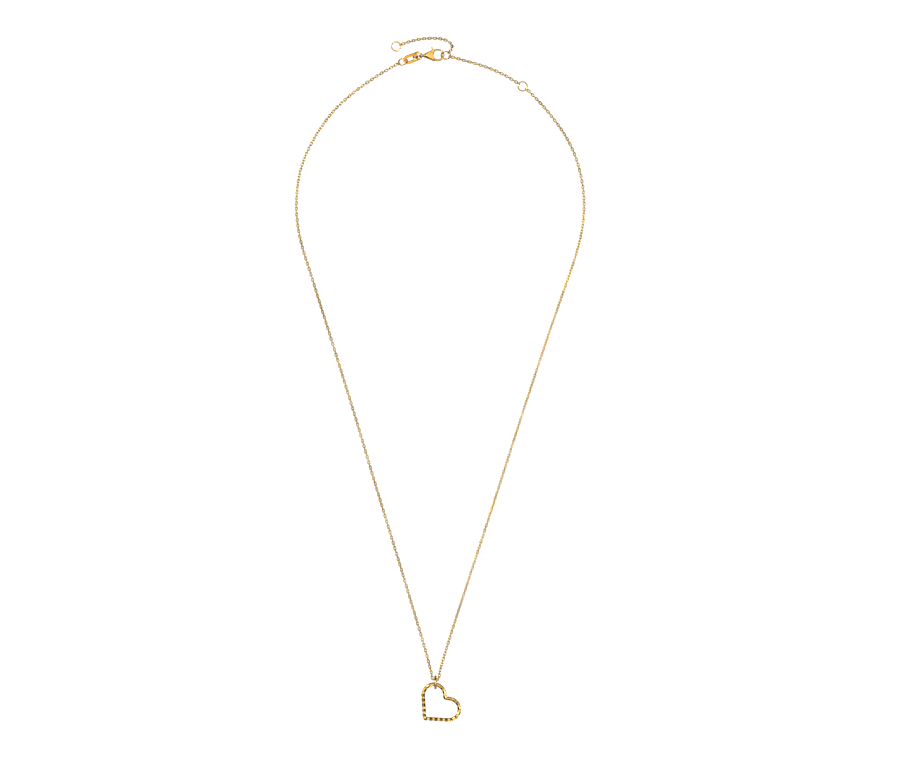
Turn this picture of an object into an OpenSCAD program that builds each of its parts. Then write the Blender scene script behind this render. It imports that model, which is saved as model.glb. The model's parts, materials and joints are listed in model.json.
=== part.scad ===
// Fine pendant necklace lying flat and fastened: cable chain, open heart, lobster clasp,
// and three rings that give three wearing lengths. +X right, +Y towards the clasp, +Z up.

/* [Chain] */
// Outside width of the cable chain
chain_w = 1.0; // [0.8:0.05:1]
// Outside length of each chain's round end link
end_link_w = 1.26; // [1.22:0.02:1.3]
// Wire of the end links
end_link_wire = 0.26; // [0.22:0.02:0.26]

/* [Rings] */
// Outside width of the four jump rings
ring_w = 3.1; // [3.06:0.02:3.14]
// Wire of the jump rings
ring_wire = 0.4; // [0.36:0.02:0.42]
// Outside width of the heavier ring between tag and clasp
connector_w = 2.96; // [2.9:0.02:3]
// Wire of the heavier ring
connector_wire = 0.56; // [0.5:0.02:0.58]

/* [Heart pendant] */
// Radius of each lobe, at the middle of the wire
lobe_r = 3.2; // [3.1:0.05:3.3]
// Distance of each lobe's centre from the heart's own axis
lobe_x = 3.03; // [2.9:0.01:3.1]
// Height of the lobe centres above the heart's point
lobe_y = 6.99; // [6.8:0.01:7.2]
// Wire of the heart
heart_wire = 1.1; // [0.8:0.05:1.1]
// Outside width of the bail ring
bail_w = 4.1; // [4.06:0.02:4.2]
// Wire of the bail ring
bail_wire = 0.7; // [0.66:0.02:0.72]

/* [Oval tag] */
// Outside length of the tag
tag_l = 4.6; // [4.5:0.05:4.7]
// Outside width of the tag
tag_w = 3.0; // [2.8:0.05:3.1]
// Width of the tag's slot
slot_w = 1.3; // [1.25:0.05:1.35]
// Thickness of the tag
tag_t = 0.3; // [0.25:0.05:0.35]

/* [Clasp] */
// Distance from the eye to the middle of the hook
clasp_l = 4.8; // [4.75:0.01:4.85]
// Radius of the hook, at the middle of its bar
hook_r = 1.65; // [1.6:0.01:1.7]
// Thickness of the hook's bar
hook_t = 0.62; // [0.56:0.02:0.64]
// Thickness of the clasp's body
body_t = 1.7; // [1.5:0.1:1.7]
// Diameter of the lever's pin
pin_d = 0.4; // [0.36:0.02:0.44]

/* [Hidden] */
gold = [0.86, 0.66, 0.3];
chain_gold = [0.82, 0.68, 0.34];
$fn = 48;
tube_sides = 8;

ring_r = (ring_w - ring_wire) / 2;
connector_r = (connector_w - connector_wire) / 2;
bail_r = (bail_w - bail_wire) / 2;
link_r = (end_link_w - end_link_wire) / 2;
// How far a link's centre lies outside the middle of the ring's wire
link_out = 0.1;

// Each ring's frame: centre, heading about Z, then tilt about its own X, then pitch about its own Y
left_at = [-11, 93.5, 1.2];
tag_heading = 21;
left_tilt = -40;
tag_tilt = 36;
connector_tilt = -20;
// Distances of the tag and the heavier ring from the left ring, centre to centre
tag_out = 2.5;
connector_out = 4.65;
tag_at = left_at + tag_out * [cos(tag_heading), sin(tag_heading), 0];
connector_at = left_at + connector_out * [cos(tag_heading), sin(tag_heading), 0];
clasp_heading = 3;
clasp_tilt = -12;
clasp_at = connector_at + connector_r * [cos(clasp_heading), sin(clasp_heading), 0];
clasp_ring_at = [1.65, 95.4, 1.2];
clasp_ring_heading = -3;
clasp_ring_tilt = 40;
adjuster_at = [24.3, 86.3, 0.64];
tail_ring_at = [-13, 98.1, 0.42];
tail_ring_pitch = -8.5;

// Where each chain's end link sits round its ring, as an angle in the ring's own frame
main_first_angle = 184;
short_first_angle = -17;
tail_first_angle = 53;
short_last_angle = 145;
main_last_angle = -38;
tail_last_angle = 0;
tail_heading = 20;

// The bail stands on edge round the chain and the heart's wire
bail_at = [-1.37, -89.25, 2.07];
heart_hang = [-1.37, -89.85, 1.65];
heart_lie = 5.7;

// Routes of the three chains, from ring to ring
main_route = [
    [-13, 92.6, 1.3], [-15, 91.5, 0.8], [-19.5, 88.8, 0.52], [-25.5, 84.5, 0.52], [-31, 79.5, 0.52],
    [-35.6, 73.5, 0.52], [-39, 67.5, 0.52], [-41.2, 61.5, 0.52], [-42.2, 55.5, 0.52],
    [-42.4, 50, 0.52], [-41.8, 44, 0.52], [-40.4, 38, 0.52], [-38.5, 32, 0.52],
    [-33, 14.5, 0.52], [-25.7, -9, 0.52], [-18.6, -32.7, 0.52], [-11.4, -56.3, 0.52],
    [-5.5, -76, 0.5], [-3, -85, 1.1], [-2.45, -87.6, 1.5], [-2.15, -88.35, 1.55], [-1.4, -88.7, 1.55],
    [-0.6, -88.35, 1.55], [-0.3, -87.6, 1.5], [0.2, -85, 1.1], [2.9, -76, 0.5],
    [9.3, -56.3, 0.52], [17, -32.7, 0.52], [24.6, -9, 0.52], [32.4, 14.5, 0.52],
    [38.5, 32, 0.52], [40.4, 38, 0.52], [41.8, 44, 0.52], [42.4, 50, 0.52], [42.2, 55.5, 0.52],
    [41.1, 61.5, 0.52], [39.1, 67.5, 0.52], [35.8, 73.5, 0.52], [31.2, 79.5, 0.52],
    [28, 83, 0.5], [26, 85, 0.6]];
short_route = [
    [3.9, 94.8, 0.8], [5.5, 94.4, 0.5], [8.7, 93.5, 0.52], [12.4, 92.4, 0.52], [15.6, 91.2, 0.52],
    [18.4, 89.9, 0.52], [20.6, 88.7, 0.5], [22.5, 87.5, 0.6]];
tail_route = [
    [3.15, 96.8, 2.45], [3.5, 97.5, 2.1], [3.4, 98.4, 1.4], [2.7, 99.3, 0.8], [1.4, 100, 0.52],
    [-0.8, 100.45, 0.52], [-3.9, 100.45, 0.52], [-6.7, 100.1, 0.52], [-9, 99.5, 0.5],
    [-11, 98.8, 0.7]];

// A smooth curve through a route's points, cut into steps per stretch
function on_curve(a, b, c, d, t) = 0.5 * (2 * b + (c - a) * t + (2 * a - 5 * b + 4 * c - d) * t * t
                                          + (3 * b - a - 3 * c + d) * t * t * t);
function smooth(p, steps) = concat(
    [for (i = [0 : len(p) - 2], k = [0 : steps - 1])
        on_curve(p[max(i - 1, 0)], p[i], p[i + 1], p[min(i + 2, len(p) - 1)], k / steps)],
    [p[len(p) - 1]]);
function unit(v) = v / norm(v);
function heading(p, i) = unit(p[min(i + 1, len(p) - 1)] - p[max(i - 1, 0)]);
function ring_points(p, i, r) = let (h = heading(p, i), side = unit(cross(h, [0, 0, 1])), up = cross(side, h))
    [for (k = [0 : tube_sides - 1])
        let (a = 360 * (k + 0.5) / tube_sides) p[i] + r * (side * cos(a) + up * sin(a))];

module tube(route, steps, d) {
    p = smooth(route, steps);
    r = d / 2 / cos(180 / tube_sides);
    n = len(p);
    polyhedron(
        points = [for (i = [0 : n - 1]) each ring_points(p, i, r)],
        faces = concat(
            [[for (k = [0 : tube_sides - 1]) k]],
            [for (i = [0 : n - 2], k = [0 : tube_sides - 1])
                let (a = i * tube_sides, b = a + tube_sides, m = (k + 1) % tube_sides)
                [a + k, b + k, b + m, a + m]],
            [[for (k = [tube_sides - 1 : -1 : 0]) (n - 1) * tube_sides + k]]));
}

module torus(r, wire) {
    rotate_extrude()
        translate([r, 0])
            circle(d = wire);
}

module arc_bar(r, t, from, sweep) {
    rotate([0, 0, from])
        rotate_extrude(angle = sweep)
            translate([r, 0])
                circle(d = t);
}

// Puts its children in the frame of a ring
module place(at, turn, tilt = 0, pitch = 0) {
    translate(at)
        rotate([0, 0, turn])
            rotate([tilt, pitch, 0])
                children();
}

// A round link threaded on a jump ring, standing across the ring's plane
module end_link(angle) {
    color(chain_gold)
        rotate([0, 0, angle])
            translate([ring_r + link_out, 0, 0])
                rotate([90, 0, 0])
                    torus(link_r, end_link_wire);
}

module in_left() { place(left_at, tag_heading, left_tilt) children(); }
module in_clasp() { place(clasp_at, clasp_heading, clasp_tilt) children(); }
module in_clasp_ring() { place(clasp_ring_at, clasp_ring_heading, clasp_ring_tilt) children(); }
module in_adjuster() { place(adjuster_at, 0) children(); }
module in_tail_ring() { place(tail_ring_at, tail_heading, 0, tail_ring_pitch) children(); }

module main_chain() { color(chain_gold) tube(main_route, 2, chain_w); }
module main_chain_first_link() { in_left() end_link(main_first_angle); }
module main_chain_last_link() { in_adjuster() end_link(main_last_angle); }
module short_chain() { color(chain_gold) tube(short_route, 2, chain_w); }
module short_chain_first_link() { in_clasp_ring() end_link(short_first_angle); }
module short_chain_last_link() { in_adjuster() end_link(short_last_angle); }
module tail_chain() { color(chain_gold) tube(tail_route, 2, chain_w); }
module tail_chain_first_link() { in_clasp_ring() end_link(tail_first_angle); }
module tail_chain_last_link() { in_tail_ring() end_link(tail_last_angle); }

module left_ring() { color(gold) in_left() torus(ring_r, ring_wire); }
module clasp_ring() { color(gold) in_clasp_ring() torus(ring_r, ring_wire); }
module adjuster_ring() { color(gold) in_adjuster() torus(ring_r, ring_wire); }
module tail_ring() { color(gold) in_tail_ring() torus(ring_r, ring_wire); }
module connector_ring() {
    color(gold)
        place(connector_at, tag_heading, connector_tilt)
            torus(connector_r, connector_wire);
}

// A flat plate with round ends
module round_ended(l, w, t) {
    for (side = [-1, 1])
        translate([side * (l - w) / 2, 0, -t / 2])
            cylinder(h = t, d = w);
    cube([l - w, w, t], center = true);
}

module oval_tag() {
    // Width of the tag's band at its two ends
    end_band = 0.85;
    color(gold)
        place(tag_at, tag_heading, tag_tilt)
            difference() {
                round_ended(tag_l, tag_w, tag_t);
                round_ended(tag_l - 2 * end_band, slot_w, 2 * tag_t);
            }
}

// Where the lever turns, in the clasp's frame, and how its parts are spaced
pivot = [3.1, 1.0, 0];
lever_t = 0.56;
pocket_t = 0.7;
pocket_r = 1.15;
// The lever's tip and the hook's end meet along a circle about the pivot, so the tip swings past freely
tip_angle = 48;
tip_swing_r = 2.74;
tip_gap = 0.1;
// The hook's bar starts inside the body, and the lever's bar ends at its root
hook_start = -155;
lever_end = 146;

module clasp_body() {
    eye_r = 0.68;
    eye_wire = 0.44;
    neck_r = 0.5;
    wide_r = 1.9;
    body_end = 3.75;
    color(gold)
        in_clasp() {
            difference() {
                union() {
                    rotate([90, 0, 0])
                        torus(eye_r, eye_wire);
                    intersection() {
                        translate([eye_r, 0, 0])
                            rotate([0, 90, 0])
                                cylinder(h = body_end - eye_r, r1 = neck_r, r2 = wide_r);
                        cube([4 * clasp_l, 2 * wide_r, body_t], center = true);
                    }
                    difference() {
                        translate([clasp_l, 0, 0])
                            arc_bar(hook_r, hook_t, hook_start, tip_angle - hook_start);
                        intersection() {
                            translate(pivot - [0, 0, body_t])
                                cylinder(h = 2 * body_t, r = tip_swing_r + tip_gap);
                            translate([clasp_l, 0, -body_t])
                                cube(2 * body_t);
                        }
                    }
                }
                translate([clasp_l, 0, -body_t])
                    cylinder(h = 2 * body_t, r = hook_r - hook_t / 2);
                translate(pivot - [0, 0, pocket_t / 2])
                    cylinder(h = pocket_t, r = pocket_r);
                translate(pivot - [0, 0, body_t])
                    cylinder(h = 2 * body_t, d = pin_d);
            }
        }
}

module clasp_lever() {
    running_gap = 0.04;
    root_r = 0.5;
    thumb_at = [3.15, 2.2, 0];
    thumb_r = 0.3;
    stalk_w = 0.45;
    color(gold)
        in_clasp()
            difference() {
                union() {
                    translate(pivot - [0, 0, lever_t / 2])
                        cylinder(h = lever_t, r = root_r);
                    intersection() {
                        translate([clasp_l, 0, 0])
                            arc_bar(hook_r, lever_t, tip_angle, lever_end - tip_angle);
                        translate(pivot - [0, 0, body_t])
                            cylinder(h = 2 * body_t, r = tip_swing_r);
                    }
                    translate([thumb_at[0] - stalk_w / 2, pivot[1], -lever_t / 2])
                        cube([stalk_w, thumb_at[1] - pivot[1], lever_t]);
                    translate(thumb_at)
                        sphere(r = thumb_r);
                }
                translate(pivot - [0, 0, body_t])
                    cylinder(h = 2 * body_t, r = pin_d / 2 + running_gap);
            }
}

module lever_pin() {
    // The pin's heads stay just inside the body's two faces
    head_gap = 0.1;
    color(gold)
        in_clasp()
            translate(pivot - [0, 0, body_t / 2 - head_gap])
                cylinder(h = body_t - 2 * head_gap, d = pin_d);
}

module lever_spring() {
    spring_r = 0.78;
    spring_t = 0.12;
    spring_h = 0.4;
    spring_from = 170;
    spring_sweep = 80;
    color("silver")
        in_clasp()
            translate(pivot)
                rotate([0, 0, spring_from])
                    rotate_extrude(angle = spring_sweep)
                        translate([spring_r, -spring_h / 2])
                            square([spring_t, spring_h]);
}

module bail_ring() {
    color(gold)
        place(bail_at, 0, 0, 90)
            torus(bail_r, bail_wire);
}

// The heart's outline stands on its point at the origin, and its right half runs up to the cleft
cleft_angle = 50;
side_steps = 7;
lobe_steps = 22;
heart_sides = 12;
lobe_far = norm([lobe_x, lobe_y]);
side_angle = atan(lobe_x / lobe_y) + asin(lobe_r / lobe_far);
lobe_start = [lobe_x + lobe_r * cos(side_angle), lobe_y - lobe_r * sin(side_angle)];
lobe_end = [lobe_x - lobe_r * cos(cleft_angle), lobe_y + lobe_r * sin(cleft_angle)];
cleft = [0, lobe_end[1] - lobe_end[0] / tan(cleft_angle)];
right_half = concat(
    [for (i = [0 : side_steps - 1]) lobe_start * i / side_steps],
    [for (i = [0 : lobe_steps])
        let (a = -side_angle + i * (180 - cleft_angle + side_angle) / lobe_steps)
        [lobe_x + lobe_r * cos(a), lobe_y + lobe_r * sin(a)]],
    [(lobe_end + cleft) / 2]);
left_half = [for (i = [len(right_half) - 1 : -1 : 1]) [-right_half[i][0], right_half[i][1]]];
outline = concat(right_half, [cleft], left_half);

// One ring of the wire, in the plane that halves the outline's turn there
function wire_ring(i) =
    let (n = len(outline), back = unit(outline[i] - outline[(i + n - 1) % n]),
         on = unit(outline[(i + 1) % n] - outline[i]), h = unit(back + on),
         side = [h[1], -h[0]] / (h * on))
    [for (k = [0 : heart_sides - 1])
        let (a = 360 * (k + 0.5) / heart_sides, p = outline[i] + side * cos(a) * heart_wire / 2)
        [p[0], p[1], sin(a) * heart_wire / 2]];

module heart() {
    // The heart hangs turned, from the top of its left lobe
    heart_turn = -45;
    left_lobe = [-lobe_x * cos(heart_turn) - lobe_y * sin(heart_turn),
                 -lobe_x * sin(heart_turn) + lobe_y * cos(heart_turn)];
    // How far the lobe's top lies left of the bail
    aside = 0.45;
    n = len(outline);
    color(gold)
        translate(heart_hang)
            rotate([heart_lie, 0, 0])
                translate([-left_lobe[0] - aside, -left_lobe[1] - lobe_r, 0])
                    rotate([0, 0, heart_turn])
                        polyhedron(
                            points = [for (i = [0 : n - 1]) each wire_ring(i)],
                            faces = [for (i = [0 : n - 1], k = [0 : heart_sides - 1])
                                let (a = i * heart_sides, b = ((i + 1) % n) * heart_sides,
                                     m = (k + 1) % heart_sides)
                                [a + k, b + k, b + m, a + m]]);
}

main_chain();
main_chain_first_link();
main_chain_last_link();
short_chain();
short_chain_first_link();
short_chain_last_link();
tail_chain();
tail_chain_first_link();
tail_chain_last_link();
left_ring();
oval_tag();
connector_ring();
clasp_body();
clasp_lever();
lever_pin();
lever_spring();
clasp_ring();
adjuster_ring();
tail_ring();
bail_ring();
heart();
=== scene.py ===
"""Looks of the pendant necklace: real chain links, jump rings with seams, a diamond-cut heart,
cast clasp and plate tag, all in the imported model's own frame (metres, +Z up, lying on z = 0)."""

import json
import math

import bpy
import numpy as np
from mathutils import Matrix, Vector


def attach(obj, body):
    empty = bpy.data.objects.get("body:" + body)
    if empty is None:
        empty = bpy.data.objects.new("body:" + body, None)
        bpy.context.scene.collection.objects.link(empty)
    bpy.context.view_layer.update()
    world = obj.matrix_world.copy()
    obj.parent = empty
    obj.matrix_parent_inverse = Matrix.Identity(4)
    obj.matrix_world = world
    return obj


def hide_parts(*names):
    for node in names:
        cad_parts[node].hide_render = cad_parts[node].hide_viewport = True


MM = 0.001
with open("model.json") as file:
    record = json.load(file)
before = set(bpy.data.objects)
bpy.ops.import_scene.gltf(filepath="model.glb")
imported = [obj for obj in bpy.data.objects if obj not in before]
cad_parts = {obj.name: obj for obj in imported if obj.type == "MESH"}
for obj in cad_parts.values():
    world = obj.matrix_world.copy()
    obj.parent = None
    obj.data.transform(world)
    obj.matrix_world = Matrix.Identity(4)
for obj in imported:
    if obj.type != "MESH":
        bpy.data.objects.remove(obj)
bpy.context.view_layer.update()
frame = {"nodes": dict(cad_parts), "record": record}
node_body = {n: b for b, ns in frame["record"]["behaviour"]["bodies"].items() for n in ns}

# ---- camera: straight down, as the photograph looks
VIEW_WIDTH = 265.5 * MM
VIEW_CENTRE = (2.9 * MM, -1.3 * MM)
LENS_MM, SENSOR_MM = 120, 36


def make_camera():
    data = bpy.data.cameras.new("camera")
    data.lens, data.sensor_width = LENS_MM, SENSOR_MM
    data.clip_start, data.clip_end = 0.01, 20
    camera = bpy.data.objects.new("camera", data)
    camera.location = (*VIEW_CENTRE, VIEW_WIDTH * LENS_MM / SENSOR_MM)
    bpy.context.scene.collection.objects.link(camera)
    bpy.context.scene.camera = camera


make_camera()

# ---- materials
PATCH_SCALE, PATCH_DETAIL, PATCH_EDGES = 350, 3, (0.35, 0.65)
GRAIN_DETAIL = 4
GRAIN_ROUGHNESS, GRAIN_STRENGTH, GRAIN_DEPTH = 0.12, 0.12, 0.01 * MM


def gold(name, light, deep, rough, grain, wear=0.0):
    """Polished gold: two close tints in slow patches, fine polishing grain in roughness and bump,
    and, where wear is given, duller spots."""
    material = bpy.data.materials.new(name)
    material.use_nodes = True
    nodes, links = material.node_tree.nodes, material.node_tree.links
    shader = nodes["Principled BSDF"]
    shader.inputs["Metallic"].default_value = 1.0
    where = nodes.new("ShaderNodeTexCoord")

    def noise(scale, detail):
        n = nodes.new("ShaderNodeTexNoise")
        n.inputs["Scale"].default_value = scale
        n.inputs["Detail"].default_value = detail
        links.new(where.outputs["Object"], n.inputs["Vector"])
        return n

    patches, fine = noise(PATCH_SCALE, PATCH_DETAIL), noise(grain, GRAIN_DETAIL)
    tint = nodes.new("ShaderNodeValToRGB")
    for stop, edge, colour in zip(tint.color_ramp.elements, PATCH_EDGES, (deep, light)):
        stop.position, stop.color = edge, (*colour, 1)
    links.new(patches.outputs["Fac"], tint.inputs["Fac"])
    links.new(tint.outputs["Color"], shader.inputs["Base Color"])
    spread = nodes.new("ShaderNodeMapRange")
    spread.inputs["To Min"].default_value = rough
    spread.inputs["To Max"].default_value = rough + GRAIN_ROUGHNESS + wear
    links.new(fine.outputs["Fac"], spread.inputs["Value"])
    links.new(spread.outputs["Result"], shader.inputs["Roughness"])
    bump = nodes.new("ShaderNodeBump")
    bump.inputs["Strength"].default_value = GRAIN_STRENGTH
    bump.inputs["Distance"].default_value = GRAIN_DEPTH
    links.new(fine.outputs["Fac"], bump.inputs["Height"])
    links.new(bump.outputs["Normal"], shader.inputs["Normal"])
    return material


MATERIALS = {
    "chain_gold": gold("chain_gold", (0.78, 0.52, 0.11), (0.48, 0.28, 0.03), 0.18, 9000),
    "polished_gold": gold("polished_gold", (0.90, 0.60, 0.17), (0.68, 0.40, 0.08), 0.12, 6000),
    "tag_gold": gold("tag_gold", (0.86, 0.44, 0.07), (0.68, 0.30, 0.035), 0.16, 5000, 0.06),
    "clasp_gold": gold("clasp_gold", (0.92, 0.58, 0.15), (0.76, 0.43, 0.08), 0.17, 5000, 0.08),
    "cut_gold": gold("cut_gold", (0.92, 0.59, 0.17), (0.72, 0.42, 0.08), 0.08, 6000),
    "spring_steel": gold("spring_steel", (0.62, 0.62, 0.60), (0.50, 0.50, 0.48), 0.25, 7000),
}

# ---- mesh helpers


def make_piece(name, points, faces, slot, node, sharp_deg=None):
    """A closed mesh in the row frame that stands for one CAD node and rides on its body."""
    mesh = bpy.data.meshes.new(name)
    mesh.from_pydata([tuple(p) for p in points], [], faces)
    mesh.validate()
    mesh.polygons.foreach_set("use_smooth", [True] * len(mesh.polygons))
    if sharp_deg:
        mesh.set_sharp_from_angle(angle=math.radians(sharp_deg))
    piece = bpy.data.objects.new(name, mesh)
    bpy.context.scene.collection.objects.link(piece)
    return finish_piece(piece, slot, node)


def finish_piece(piece, slot, node):
    piece.data.materials.clear()
    piece.data.materials.append(MATERIALS[slot])
    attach(piece, node_body[node])
    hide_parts(node)
    return piece


def loop_faces(rings, sides):
    """Quads of a closed wire of rings, each with so many sides."""
    faces = []
    for i in range(rings):
        a, b = i * sides, (i + 1) % rings * sides
        for k in range(sides):
            m = (k + 1) % sides
            faces.append((a + k, a + m, b + m, b + k))
    return faces


def unit(v):
    return v / np.linalg.norm(v)


def node_points(node):
    return np.array([v.co for v in frame["nodes"][node].data.vertices], float)


# ---- jump rings, end links and bail: true round wire, each with the seam where it was closed
RING_STEPS, RING_SIDES = 96, 18
SEAM_WIDTH, SEAM_DEPTH = 0.05 * MM, 0.10
# Where each ring was closed, in degrees round it
SEAMS = {"left_ring": 200, "clasp_ring": 75, "adjuster_ring": 40, "tail_ring": 300,
         "connector_ring": 100, "bail_ring": 215}
END_LINK_SEAM = 130


def fit_torus(node):
    """Centre, the ring's two in-plane directions, its normal, its radius and its wire's radius."""
    points = node_points(node)
    centre = (points.min(0) + points.max(0)) / 2
    rows = np.linalg.svd(points - points.mean(0), full_matrices=False)[2]
    normal = rows[2]
    flat = points - centre
    height = flat @ normal
    wire = (height.max() - height.min()) / 2
    outer = np.linalg.norm(flat - np.outer(height, normal), axis=1).max()
    return centre, rows[0], rows[1], normal, outer - wire, wire


def round_ring(node, slot, seam_deg):
    centre, u, v, normal, radius, wire = fit_torus(node)
    steps = np.linspace(0, 2 * math.pi, RING_STEPS, endpoint=False)
    points = []
    for a in steps:
        out = u * math.cos(a) + v * math.sin(a)
        off = (a - math.radians(seam_deg) + math.pi) % (2 * math.pi) - math.pi
        pinch = 1 - SEAM_DEPTH * math.exp(-((off * radius / SEAM_WIDTH) ** 2))
        for k in range(RING_SIDES):
            b = 2 * math.pi * k / RING_SIDES
            r = wire * pinch
            points.append(centre + out * (radius + r * math.cos(b)) + normal * r * math.sin(b))
    return make_piece("shown_" + node, points, loop_faces(RING_STEPS, RING_SIDES), slot, node)


for node, seam in SEAMS.items():
    round_ring(node, "polished_gold", seam)
for run in ("main", "short", "tail"):
    for end in ("first", "last"):
        round_ring(f"{run}_chain_{end}_link", "chain_gold", END_LINK_SEAM)

# ---- chains: the routes are part.scad's, in millimetres
ROUTES = {
    "main_chain": [
        (-13, 92.6, 1.3), (-15, 91.5, 0.8), (-19.5, 88.8, 0.52), (-25.5, 84.5, 0.52),
        (-31, 79.5, 0.52), (-35.6, 73.5, 0.52), (-39, 67.5, 0.52), (-41.2, 61.5, 0.52),
        (-42.2, 55.5, 0.52), (-42.4, 50, 0.52), (-41.8, 44, 0.52), (-40.4, 38, 0.52),
        (-38.5, 32, 0.52), (-33, 14.5, 0.52), (-25.7, -9, 0.52), (-18.6, -32.7, 0.52),
        (-11.4, -56.3, 0.52), (-5.5, -76, 0.5), (-3, -85, 1.1), (-2.45, -87.6, 1.5),
        (-2.15, -88.35, 1.55), (-1.4, -88.7, 1.55), (-0.6, -88.35, 1.55), (-0.3, -87.6, 1.5),
        (0.2, -85, 1.1), (2.9, -76, 0.5), (9.3, -56.3, 0.52), (17, -32.7, 0.52),
        (24.6, -9, 0.52), (32.4, 14.5, 0.52), (38.5, 32, 0.52), (40.4, 38, 0.52),
        (41.8, 44, 0.52), (42.4, 50, 0.52), (42.2, 55.5, 0.52), (41.1, 61.5, 0.52),
        (39.1, 67.5, 0.52), (35.8, 73.5, 0.52), (31.2, 79.5, 0.52), (28, 83, 0.5), (26, 85, 0.6)],
    "short_chain": [
        (3.9, 94.8, 0.8), (5.5, 94.4, 0.5), (8.7, 93.5, 0.52), (12.4, 92.4, 0.52),
        (15.6, 91.2, 0.52), (18.4, 89.9, 0.52), (20.6, 88.7, 0.5), (22.5, 87.5, 0.6)],
    "tail_chain": [
        (3.15, 96.8, 2.45), (3.5, 97.5, 2.1), (3.4, 98.4, 1.4), (2.7, 99.3, 0.8), (1.4, 100, 0.52),
        (-0.8, 100.45, 0.52), (-3.9, 100.45, 0.52), (-6.7, 100.1, 0.52), (-9, 99.5, 0.5),
        (-11, 98.8, 0.7)],
}
CHAIN_W, LINK_L, LINK_WIRE = 1.0 * MM, 1.43 * MM, 0.3 * MM
LINK_STEPS, LINK_SIDES, CURVE_STEPS = 16, 7, 12
# How far the first drawn link's end reaches from the middle of the separate end link
END_REACH = 0.405 * MM
# How far to either side of a point the line's heading is taken
HEADING_REACH = 0.3 * MM
# The chain's twist: a short and a long wave, each as its size and its turn from link to link
TWIST_WAVES = ((0.14, 0.23), (0.16, 0.045))
TWIST_EASE = 6


def smooth(p, steps):
    """The same curve through a route's points that part.scad uses."""
    p, out = [np.array(q, float) for q in p], []
    for i in range(len(p) - 1):
        a, b, c, d = p[max(i - 1, 0)], p[i], p[i + 1], p[min(i + 2, len(p) - 1)]
        for k in range(steps):
            t = k / steps
            out.append(0.5 * (2 * b + (c - a) * t + (2 * a - 5 * b + 4 * c - d) * t * t
                              + (3 * b - a - 3 * c + d) * t**3))
    return np.array(out + [p[-1]])


def along(line, gaps):
    """Points and headings at those distances along a line, and the line's length."""
    step = np.linalg.norm(np.diff(line, axis=0), axis=1)
    total = np.concatenate([[0], np.cumsum(step)])
    at = np.stack([np.interp(gaps, total, line[:, k]) for k in range(3)], axis=1)
    before, after = (np.stack([np.interp(g, total, line[:, k]) for k in range(3)], axis=1)
                     for g in (gaps - HEADING_REACH, gaps + HEADING_REACH))
    return at, after - before, total[-1]


def link_outline():
    """One long link with round ends, in its own plane: its wire's middle, and the way outward."""
    half_w = (CHAIN_W - LINK_WIRE) / 2
    straight = (LINK_L - CHAIN_W) / 2
    out = []
    for i in range(LINK_STEPS):
        a = 2 * math.pi * (i + 0.5) / LINK_STEPS
        d = np.array([math.cos(a), math.sin(a)])
        out.append((np.array([math.copysign(straight, d[0]), 0]) + half_w * d, d))
    return out


def chain(name):
    """Interlocked links from one end link to the other, every second one turned a quarter."""
    ends = [node_points(f"{name}_{e}_link") for e in ("first", "last")]
    centres = [(e.min(0) + e.max(0)) / 2 for e in ends]
    line = np.vstack([centres[0], smooth(ROUTES[name], CURVE_STEPS) * MM, centres[1]])
    first = END_REACH - LINK_WIRE / 2 + (LINK_L - LINK_WIRE) / 2
    length = along(line, np.zeros(1))[2]
    count = round((length - 2 * first) / (LINK_L - 2 * LINK_WIRE))
    count += count % 2
    gaps = np.linspace(first, length - first, count + 1)
    at, heading, _ = along(line, gaps)
    points, faces, outline = [], [], link_outline()
    for i, (p, h) in enumerate(zip(at, heading)):
        h = unit(h)
        side = unit(np.cross(h, (0, 0, 1)))
        up = np.cross(side, h)
        # The chain lies with a slow, uneven twist, eased to none at its two ends
        lie = sum(size * math.sin(step * i) for size, step in TWIST_WAVES)
        ease = min(1, i / TWIST_EASE, (count - i) / TWIST_EASE)
        turn = lie * ease + (math.pi / 2 if i % 2 else 0)
        across = side * math.cos(turn) + up * math.sin(turn)
        normal = np.cross(h, across)
        start = len(points)
        for middle, out in outline:
            outward = h * out[0] + across * out[1]
            core = p + h * middle[0] + across * middle[1]
            for k in range(LINK_SIDES):
                b = 2 * math.pi * k / LINK_SIDES
                points.append(core + LINK_WIRE / 2 * (outward * math.cos(b) + normal * math.sin(b)))
        faces += [tuple(start + v for v in f) for f in loop_faces(LINK_STEPS, LINK_SIDES)]
    piece = make_piece(f"{name}_links", points, faces, "chain_gold", name)
    return piece, line[1:-1]


links, main_line = chain("main_chain")
chain("short_chain")
chain("tail_chain")

# ---- heart: part.scad's outline, with bright cuts along the front of the wire
LOBE_R, LOBE_X, LOBE_Y, WIRE_R, CLEFT = 3.2, 3.03, 6.99, 0.55, math.radians(50)
HANG, LIE, TURN, ASIDE = (-1.37, -89.85, 1.65), math.radians(5.7), math.radians(-45), 0.45
CUT_PITCH, CUT_DEPTH, CUT_HALF, CUT_RAMP = 0.76, 0.15, 0.39, 0.08
# How a cut faces, from the wire's outward side round to its front
BRIGHT_CUT, DARK_CUT, EDGE_CUT = math.radians(84), math.radians(126), math.radians(12)
BAIL_CLEAR = 1.6
HEART_SIDES, HEART_STEP, LOBE_POINTS, SOFTEN_PASSES = 24, 0.075, 120, 24
HEART_SHARP_DEG = 14


def heart_outline():
    far = math.hypot(LOBE_X, LOBE_Y)
    side = math.atan(LOBE_X / LOBE_Y) + math.asin(LOBE_R / far)
    angles = np.linspace(-side, math.pi - CLEFT, LOBE_POINTS)
    lobe = np.stack([LOBE_X + LOBE_R * np.cos(angles), LOBE_Y + LOBE_R * np.sin(angles)], axis=1)
    cleft = np.array([0, lobe[-1][1] - lobe[-1][0] / math.tan(CLEFT)])
    right = np.vstack([[0, 0], lobe, cleft])
    return np.vstack([right, (right * (-1, 1))[-2::-1]])


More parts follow.
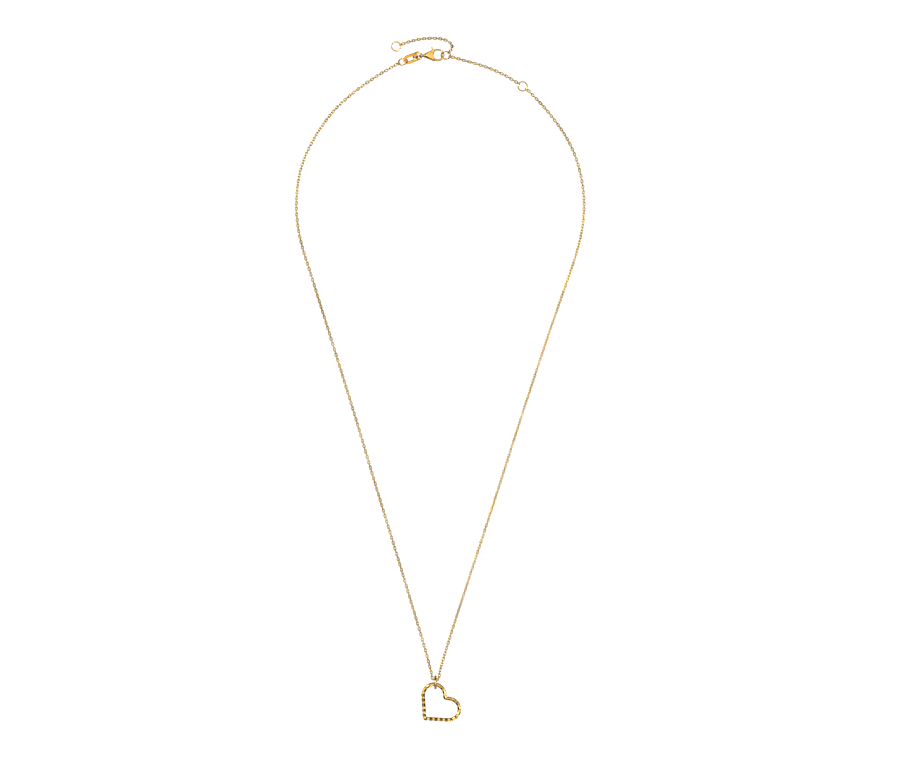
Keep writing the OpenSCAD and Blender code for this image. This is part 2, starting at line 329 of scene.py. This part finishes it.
def even_points(line, step):
    gap = np.linalg.norm(np.diff(line, axis=0), axis=1)
    total = np.concatenate([[0], np.cumsum(gap)])
    s = np.linspace(0, total[-1], round(total[-1] / step), endpoint=False)
    return np.stack([np.interp(s, total, line[:, k]) for k in range(2)], axis=1), s, total[-1]


def soften(points, times):
    """Rounds the outline's two corners a little, as bent wire is."""
    for _ in range(times):
        points = 0.5 * points + 0.25 * (np.roll(points, 1, 0) + np.roll(points, -1, 0))
    return points


def diamond_cuts(total):
    """Places and facings of the cuts. The front row faces up and inwards by turns, and every second
    place has a cut on the outer edge too."""
    count = round(total / CUT_PITCH)
    cuts = []
    for i in range(count):
        place = (i + 0.5) * total / count
        cuts += [(place, BRIGHT_CUT), (place, EDGE_CUT)] if i % 2 else [(place, DARK_CUT)]
    return cuts


def heart():
    flat, s, total = even_points(heart_outline(), HEART_STEP)
    flat = soften(flat, SOFTEN_PASSES)
    ahead = np.roll(flat, -1, 0) - np.roll(flat, 1, 0)
    ahead /= np.linalg.norm(ahead, axis=1)[:, None]
    outward = np.stack([ahead[:, 1], -ahead[:, 0]], axis=1)
    cuts = diamond_cuts(total)
    c, sn = math.cos(TURN), math.sin(TURN)
    lobe = (-LOBE_X * c - LOBE_Y * sn, -LOBE_X * sn + LOBE_Y * c)

    def turned(q):
        """A point of the outline in the hanging heart's plane, from where the bail holds it."""
        return c * q[0] - sn * q[1] - lobe[0] - ASIDE, sn * q[0] + c * q[1] - lobe[1] - LOBE_R

    points = []
    for i, (p, o) in enumerate(zip(flat, outward)):
        # No cuts where the wire passes through the bail
        clear = math.hypot(*turned(p)) > BAIL_CLEAR
        for k in range(HEART_SIDES):
            b = 2 * math.pi * k / HEART_SIDES
            y, z = WIRE_R * math.cos(b), WIRE_R * math.sin(b)
            for place, facing in cuts if clear else ():
                away = abs((s[i] - place + total / 2) % total - total / 2)
                if away > CUT_HALF:
                    continue
                # A cut is flat, with a short ramp at each end
                level = WIRE_R - CUT_DEPTH * min(1, (CUT_HALF - away) / CUT_RAMP)
                over = y * math.cos(facing) + z * math.sin(facing) - level
                if over > 0:
                    y -= over * math.cos(facing)
                    z -= over * math.sin(facing)
            tx, ty = turned(p + o * y)
            points.append(np.array([
                HANG[0] + tx,
                HANG[1] + ty * math.cos(LIE) - z * math.sin(LIE),
                HANG[2] + ty * math.sin(LIE) + z * math.cos(LIE)]) * MM)
    return make_piece("heart_wire", points, loop_faces(len(flat), HEART_SIDES), "cut_gold", "heart",
                      HEART_SHARP_DEG)


heart()

# ---- castings and plate: the CAD solids with their edges melted round
# Remeshing is done at this scale, because voxels of a real jewel's size are too small for it
WORK_SCALE = 1000.0


def cast(node, slot, voxel_mm, passes):
    """A copy of a CAD solid with its edges rounded, which stands for it."""
    piece = frame["nodes"][node].copy()
    piece.data = frame["nodes"][node].data.copy()
    for key in list(piece.keys()):
        del piece[key]
    piece.parent = None
    piece.name = "cast_" + node
    bpy.context.scene.collection.objects.link(piece)
    piece.data.transform(Matrix.Scale(WORK_SCALE, 4))
    remesh = piece.modifiers.new("remesh", "REMESH")
    remesh.mode, remesh.voxel_size = "VOXEL", voxel_mm
    rounding = piece.modifiers.new("round", "SMOOTH")
    rounding.iterations, rounding.factor = passes, 0.5
    bpy.context.view_layer.update()
    shape = piece.evaluated_get(bpy.context.evaluated_depsgraph_get())
    mesh = bpy.data.meshes.new_from_object(shape)
    piece.modifiers.clear()
    piece.data = mesh
    mesh.transform(Matrix.Scale(1 / WORK_SCALE, 4))
    mesh.polygons.foreach_set("use_smooth", [True] * len(mesh.polygons))
    return finish_piece(piece, slot, node)


cast("clasp_body", "clasp_gold", 0.05, 6)
cast("clasp_lever", "clasp_gold", 0.04, 3)
cast("oval_tag", "tag_gold", 0.035, 3)
for node, slot in (("lever_pin", "clasp_gold"), ("lever_spring", "spring_steel")):
    mesh = frame["nodes"][node].data
    mesh.materials.clear()
    mesh.materials.append(MATERIALS[slot])

# ---- floor, sky and lights
FLOOR_SIZE, FLOOR_DROP, FLOOR_GREY = 6, 0.02 * MM, 0.3
SKY_STRENGTH = 1.6
# The sky's brightness by height, from the horizon's 0 to overhead's 1
SKY_ENDS = ((0.3, 0.01), (1.0, 0.28))
SKY_STEPS = ((0.66, 0.06), (0.8, 0.5), (0.86, 1.0), (0.94, 0.8))
LIGHTS = {"key": ((-0.7, 0.5, 1.1), 0.4, 9), "fill": ((0.9, -0.2, 0.9), 0.3, 4),
          "rim": ((0.3, -1.1, 0.42), 0.5, 1.7), "side": ((-1.1, 0.1, 0.45), 0.5, 2.5)}


def make_floor():
    bpy.ops.mesh.primitive_plane_add(size=FLOOR_SIZE, location=(0, 0, -FLOOR_DROP))
    floor = bpy.context.object
    floor.name = "floor"
    material = bpy.data.materials.new("floor")
    material.use_nodes = True
    shader = material.node_tree.nodes["Principled BSDF"]
    shader.inputs["Base Color"].default_value = (FLOOR_GREY, FLOOR_GREY, FLOOR_GREY, 1)
    shader.inputs["Roughness"].default_value = 0.9
    shader.inputs["Specular IOR Level"].default_value = 0.0
    shader.inputs["Emission Color"].default_value = (1, 1, 1, 1)
    # The floor shines white to be seen, and stays dim as the metal mirrors it
    nodes, links = material.node_tree.nodes, material.node_tree.links
    path = nodes.new("ShaderNodeLightPath")
    links.new(path.outputs["Is Camera Ray"], shader.inputs["Emission Strength"])
    floor.data.materials.append(material)


def make_sky():
    """A studio: a bright ring of panels high up, darker overhead and dark round the sides."""
    world = bpy.data.worlds.new("studio")
    bpy.context.scene.world = world
    world.use_nodes = True
    nodes, links = world.node_tree.nodes, world.node_tree.links
    where = nodes.new("ShaderNodeTexCoord")
    split = nodes.new("ShaderNodeSeparateXYZ")
    ramp = nodes.new("ShaderNodeValToRGB")
    for stop, (height, grey) in zip(ramp.color_ramp.elements, SKY_ENDS):
        stop.position, stop.color = height, (grey, grey, grey, 1)
    for height, grey in SKY_STEPS:
        ramp.color_ramp.elements.new(height).color = (grey, grey, grey, 1)
    links.new(where.outputs["Generated"], split.inputs["Vector"])
    links.new(split.outputs["Z"], ramp.inputs["Fac"])
    links.new(ramp.outputs["Color"], nodes["Background"].inputs["Color"])
    nodes["Background"].inputs["Strength"].default_value = SKY_STRENGTH


def make_light(name, place, size, power):
    data = bpy.data.lights.new(name, "AREA")
    data.size, data.energy = size, power
    light = bpy.data.objects.new(name, data)
    light.location = place
    light.rotation_euler = (-Vector(place)).to_track_quat("-Z", "Y").to_euler()
    bpy.context.scene.collection.objects.link(light)


make_floor()
make_sky()
for name, (place, size, power) in LIGHTS.items():
    make_light(name, place, size, power)
bpy.context.scene.view_settings.view_transform = "Standard"
